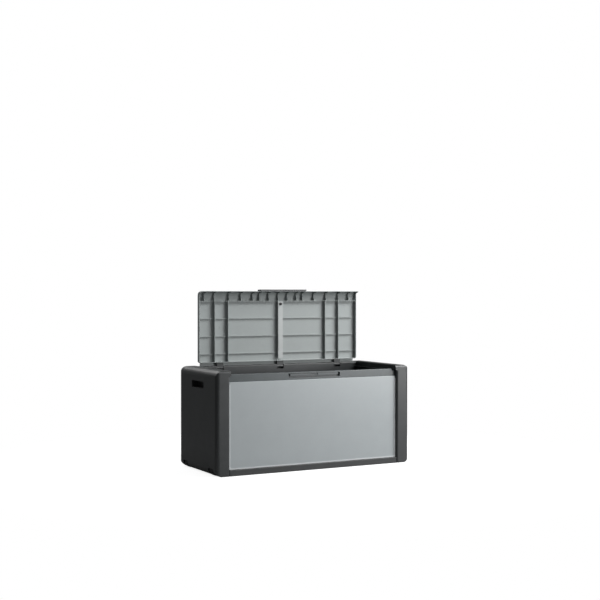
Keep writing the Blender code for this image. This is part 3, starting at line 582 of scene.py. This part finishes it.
# =============================================================================================
# Own pieces
# =============================================================================================
def floor_ribs():
    """Half-round ribs along the storage floor, which keep what is stored off the wet."""
    floor_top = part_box("base_tray")[1][2]
    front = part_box("front_wall")[1][1] + FLOOR_RIB_FRONT_GAP
    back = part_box("rear_wall")[0][1] - FLOOR_RIB_BACK_GAP
    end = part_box("right_inner_panel")[0][0] - FLOOR_RIB_END_GAP
    pitch = (back - front) / (FLOOR_RIB_ROWS - 1)
    g = Grower("grow_floor_ribs", {"Rows": FLOOR_RIB_ROWS, "Length": 2 * end, "Pitch": pitch,
                                   "Rib Width": FLOOR_RIB_WIDTH, "Rib Height": FLOOR_RIB_HEIGHT})
    half = g.math("MULTIPLY", g.size("Length"), 0.5)
    line = g.node("GeometryNodeCurvePrimitiveLine",
                  {"Start": g.vector(g.math("MULTIPLY", half, -1.0)), "End": g.vector(half)})
    ring = g.node("GeometryNodeCurvePrimitiveCircle", {"Resolution": 16}, mode="RADIUS")
    g.tree.links.new(g.math("MULTIPLY", g.size("Rib Width"), 0.5), ring.inputs["Radius"])
    bar = g.node("GeometryNodeCurveToMesh", {"Curve": line.outputs[0], "Fill Caps": True,
                                             "Profile Curve": ring.outputs[0]})
    flat = g.math("DIVIDE", g.size("Rib Height"), g.math("MULTIPLY", g.size("Rib Width"), 0.5))
    low = g.node("GeometryNodeTransform", {"Geometry": bar.outputs[0],
                                           "Scale": g.vector(1.0, 1.0, flat)})
    rows_line = g.node("GeometryNodeMeshLine", {"Count": g.size("Rows"),
                                                "Offset": g.vector(0.0, g.size("Pitch"))},
                       mode="OFFSET")
    set_out = g.node("GeometryNodeInstanceOnPoints", {"Points": rows_line.outputs[0],
                                                      "Instance": low.outputs[0]})
    ribs = g.grow("floor_ribs", set_out.outputs[0], inner_finish,
                  place=(0.0, front, floor_top))
    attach(ribs, "box")


def ejector_marks():
    """Faint round marks that the mould's ejector pins leave inside the lid's cells."""
    lid_low, lid_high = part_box("lid_shell")
    skin = lid_high[1] - LID_SKIN
    stretch = (lid_high[0] - lid_low[0]) / MARK_LID_WIDTH
    middle = (lid_low[0] + lid_high[0]) / 2
    places = [(middle + x * stretch, 0.0, lid_low[2] + z)
              for x in MARK_COLUMNS for z in MARK_ROWS]
    g = Grower("grow_ejector_marks", {"Radius": MARK_RADIUS, "Thickness": MARK_THICKNESS})
    disc = g.node("GeometryNodeMeshCylinder", {"Vertices": 20, "Radius": g.size("Radius"),
                                               "Depth": g.size("Thickness")})
    turned = g.node("GeometryNodeTransform", {"Geometry": disc.outputs["Mesh"],
                                              "Rotation": (math.radians(90), 0.0, 0.0)})
    set_out = g.node("GeometryNodeInstanceOnPoints", {"Points": g.enter.outputs[0],
                                                      "Instance": turned.outputs[0]})
    marks = g.grow("lid_ejector_marks", set_out.outputs[0], lid_finish,
                   start=points_mesh("ejector_places", places), place=(0.0, skin, 0.0))
    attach(marks, "lid")


def turned_wheel(name, radius, half, hole):
    """Plain wheel body turned about Y: hub, thin web and a crowned rim."""
    hub, rim = WHEEL_HUB, radius - WHEEL_RIM_DEPTH
    right = [(half, hole), (half, hub - WHEEL_BREAK), (half - WHEEL_BREAK, hub),
             (WHEEL_WEB_HALF, hub + WHEEL_HUB_ROOT), (WHEEL_WEB_HALF, rim - WHEEL_RIM_ROOT),
             (half - WHEEL_BREAK, rim), (half, rim + WHEEL_BREAK),
             (half, radius - WHEEL_TREAD_EDGE), (half - WHEEL_SHOULDER, radius - WHEEL_CROWN),
             (half * 0.5, radius)]
    left = [(-y, r) for y, r in reversed(right)]
    outline = left[-1:] + right + left[:-1]
    bm = bmesh.new()
    rings = []
    for k in range(WHEEL_STEPS):
        turn = 2 * math.pi * k / WHEEL_STEPS
        rings.append([bm.verts.new((r * math.cos(turn), y, r * math.sin(turn)))
                      for y, r in outline])
    for k in range(WHEEL_STEPS):
        here, there = rings[k], rings[(k + 1) % WHEEL_STEPS]
        for i in range(len(outline)):
            j = (i + 1) % len(outline)
            bm.faces.new((here[i], here[j], there[j], there[i]))
    mesh = bpy.data.meshes.new(name)
    bm.to_mesh(mesh)
    bm.free()
    return mesh


def detailed_wheel(word):
    """Transport wheel with tread lugs and radial web ribs, in place of the plain one."""
    node = "wheel_" + word
    low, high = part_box(node)
    centre = [(a + b) / 2 for a, b in zip(low, high)]
    radius = (high[2] - low[2]) / 2
    half = (high[1] - low[1]) / 2
    rim_radius = radius - LUG_RISE
    g = Grower("grow_" + node, {"Lugs": LUG_COUNT, "Web Ribs": WEB_RIB_COUNT,
                                "Rim Radius": rim_radius, "Lug Rise": LUG_RISE,
                                "Lug Length": 2 * half - LUG_SIDE_GAPS,
                                "Rib Inner": WEB_RIB_INNER,
                                "Rib Outer": radius - WEB_RIB_RIM_GAP,
                                "Rib Depth": 2 * half - WEB_RIB_SIDE_GAPS})

    def spokes(count, block, reach):
        """Blocks set round the axle, each turned to face outwards."""
        line = g.node("GeometryNodeMeshLine", {"Count": count, "Offset": (0.0, 0.0, 0.0)},
                      mode="OFFSET")
        number = g.node("GeometryNodeInputIndex").outputs[0]
        turn = g.math("MULTIPLY", g.math("DIVIDE", number, count), 2 * math.pi)
        moved = g.node("GeometryNodeTransform",
                       {"Geometry": block, "Translation": g.vector(reach)})
        set_out = g.node("GeometryNodeInstanceOnPoints",
                         {"Points": line.outputs[0], "Instance": moved.outputs[0],
                          "Rotation": g.vector(0.0, turn, 0.0)})
        return set_out.outputs[0]

    lug_height = g.math("MULTIPLY", g.size("Lug Rise"), LUG_RISES_HIGH)
    lug = g.node("GeometryNodeMeshCube",
                 {"Size": g.vector(lug_height, g.size("Lug Length"), LUG_THICKNESS)})
    lug_sink = g.math("MULTIPLY", g.size("Lug Rise"), LUG_RISES_SUNK)
    lug_reach = g.math("SUBTRACT", g.size("Rim Radius"), lug_sink)
    lugs = spokes(g.size("Lugs"), lug.outputs["Mesh"], lug_reach)
    rib = g.node("GeometryNodeMeshCube",
                 {"Size": g.vector(g.math("SUBTRACT", g.size("Rib Outer"), g.size("Rib Inner")),
                                   g.size("Rib Depth"), WEB_RIB_THICKNESS)})
    rib_ends = g.math("ADD", g.size("Rib Outer"), g.size("Rib Inner"))
    rib_reach = g.math("MULTIPLY", rib_ends, 0.5)
    ribs = spokes(g.size("Web Ribs"), rib.outputs["Mesh"], rib_reach)
    body = turned_wheel(node + "_body", rim_radius, half, WHEEL_BORE)
    wheel = g.grow(node + "_detailed", g.join(g.enter.outputs[0], lugs, ribs), black_finish,
                   start=body, place=centre, smooth=30.0)
    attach(wheel, node)
    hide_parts(node)


floor_ribs()
ejector_marks()
for word in ("front", "rear"):
    detailed_wheel(word)


# =============================================================================================
# Studio
# =============================================================================================
def floor_finish():
    """Pale floor that thins out round the box, so that it has no horizon line."""
    m, shader, mat = new_finish("studio_floor")
    path = m.node("ShaderNodeLightPath")
    m.link(m.mix(path.outputs["Is Camera Ray"], FLOOR_BOUNCE, FLOOR_TONE),
           shader.inputs["Base Color"])
    shader.inputs["Roughness"].default_value = FLOOR_ROUGHNESS
    shader.inputs["Specular IOR Level"].default_value = 0.0
    shader.inputs["Emission Color"].default_value = WHITE
    m.link(m.math("MULTIPLY", path.outputs["Is Camera Ray"], FLOOR_LIFT),
           shader.inputs["Emission Strength"])
    spot = m.node("ShaderNodeTexCoord")
    length = m.node("ShaderNodeVectorMath", operation="LENGTH")
    m.link(spot.outputs["Object"], length.inputs[0])
    m.link(m.spread(length.outputs["Value"], FLOOR_FADE_START, FLOOR_FADE_END, 1.0, 0.0),
           shader.inputs["Alpha"])
    return mat


def studio_floor():
    """Wide round floor just under the box."""
    bm = bmesh.new()
    bmesh.ops.create_circle(bm, cap_ends=True, segments=96, radius=FLOOR_RADIUS)
    mesh = bpy.data.meshes.new("studio_floor")
    bm.to_mesh(mesh)
    bm.free()
    floor = bpy.data.objects.new("studio_floor", mesh)
    bpy.context.scene.collection.objects.link(floor)
    mesh.materials.append(floor_finish())
    floor.location.z = -FLOOR_DROP


def soft_light(name, place, aim, size, power):
    """White rectangular light at place, turned to aim."""
    data = bpy.data.lights.new(name, "AREA")
    data.shape = "RECTANGLE"
    data.size, data.size_y = size
    data.energy = power
    light = bpy.data.objects.new(name, data)
    bpy.context.scene.collection.objects.link(light)
    light.location = place
    light.rotation_mode = "QUATERNION"
    light.rotation_quaternion = (Vector(aim) - Vector(place)).to_track_quat("-Z", "Y")


def studio_world():
    """White background; the fill it casts is strongest from the upper right."""
    world = bpy.data.worlds.new("studio_air")
    bpy.context.scene.world = world
    world.use_nodes = True
    m = Maker(world.node_tree)
    world.node_tree.nodes.clear()
    leave = m.node("ShaderNodeOutputWorld")
    seen = m.node("ShaderNodeBackground")
    seen.inputs["Color"].default_value = WHITE
    seen.inputs["Strength"].default_value = 1.0
    fill = m.node("ShaderNodeBackground")
    fill.inputs["Color"].default_value = FILL_TONE
    coords = m.node("ShaderNodeTexCoord")
    facing = m.node("ShaderNodeVectorMath", operation="DOT_PRODUCT")
    m.link(coords.outputs["Generated"], facing.inputs[0])
    facing.inputs[1].default_value = Vector(FILL_FROM).normalized()
    m.link(m.spread(facing.outputs["Value"], FILL_SHADED_SIDE, 1.0, FILL_LOW, FILL_HIGH),
           fill.inputs["Strength"])
    path = m.node("ShaderNodeLightPath")
    blend = m.node("ShaderNodeMixShader")
    m.link(path.outputs["Is Camera Ray"], blend.inputs["Fac"])
    m.link(fill.outputs[0], blend.inputs[1])
    m.link(seen.outputs[0], blend.inputs[2])
    m.link(blend.outputs[0], leave.inputs["Surface"])


def studio_camera():
    """Camera at the left front, level with the top of the open lid."""
    data = bpy.data.cameras.new("studio_camera")
    data.lens = CAMERA_LENS
    data.sensor_width = CAMERA_SENSOR
    data.clip_end = CAMERA_REACH
    camera = bpy.data.objects.new("studio_camera", data)
    bpy.context.scene.collection.objects.link(camera)
    camera.location = CAMERA_PLACE
    camera.rotation_euler = (math.radians(90.0 - CAMERA_DIP), 0.0, -math.radians(CAMERA_TURN))
    bpy.context.scene.camera = camera


studio_floor()
studio_world()
for name, (place, aim, size, power) in SOFT_LIGHTS.items():
    soft_light(name, place, aim, size, power)
studio_camera()
bpy.context.scene.view_settings.view_transform = "Standard"
